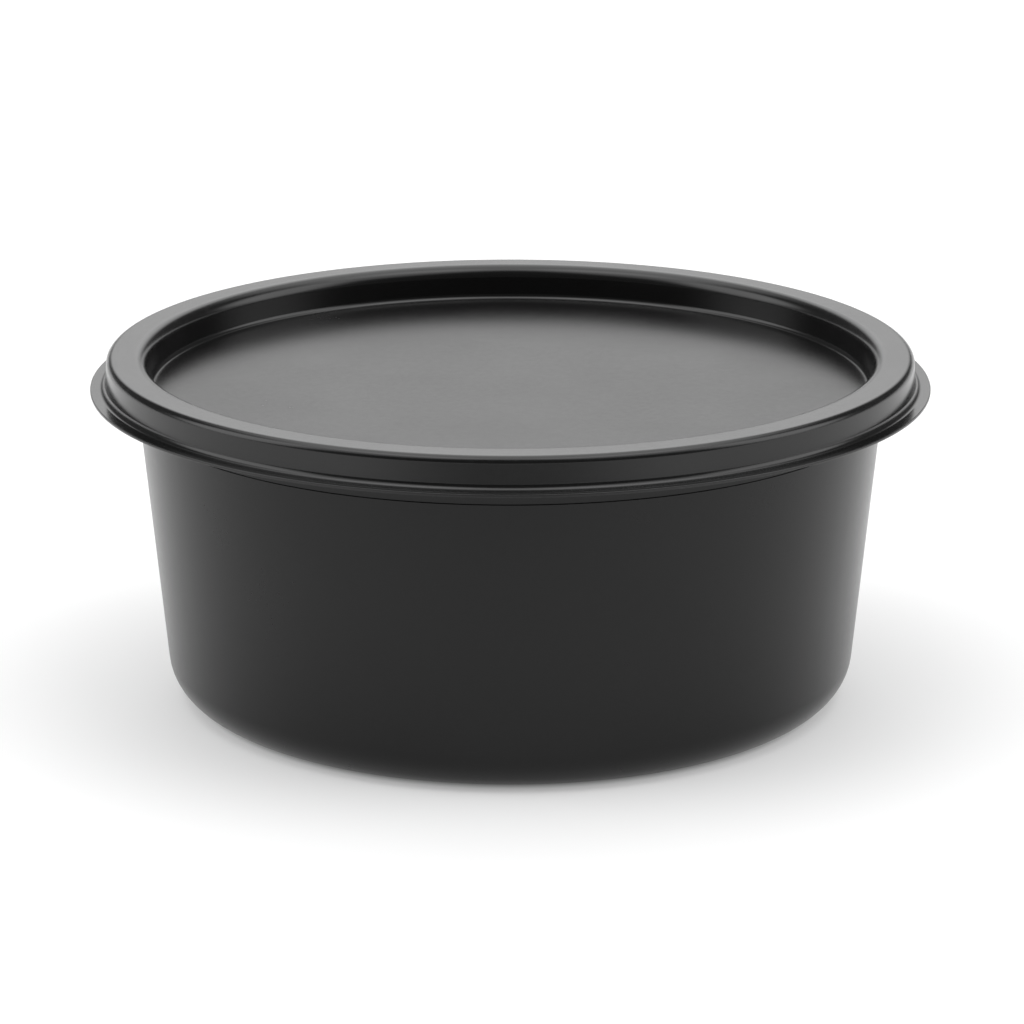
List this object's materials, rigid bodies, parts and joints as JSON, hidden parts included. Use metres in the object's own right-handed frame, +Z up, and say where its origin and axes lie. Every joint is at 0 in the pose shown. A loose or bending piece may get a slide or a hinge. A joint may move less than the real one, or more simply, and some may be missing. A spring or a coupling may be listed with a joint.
{
  "type": "go stone bowl",
  "caption": "Shallow round moulded plastic bowl for go stones, with a recessed lid whose channel closes over the bowl's lip.",
  "frame": {"origin": "centre of the foot ring, on the surface the bowl stands on", "axes": "+Z is up, along the axis of revolution and the way the lid lifts; X and Y are level and alike"},
  "size_m": [0.13, 0.13, 0.0543],
  "materials": {
    "bowl_plastic": "black moulded polypropylene, satin, with a very fine even grain",
    "lid_plastic": "black moulded polypropylene, satin, with a very fine even grain"
  },
  "bodies": {
    "bowl": {"bowl": "bowl_plastic"},
    "lid": {"lid": "lid_plastic"}
  },
  "joints": [
    {"name": "lid_lift", "type": "slide", "parent": "bowl", "child": "lid", "axis": [0, 0, 1], "range_m": [0, 0.1]}
  ]
}
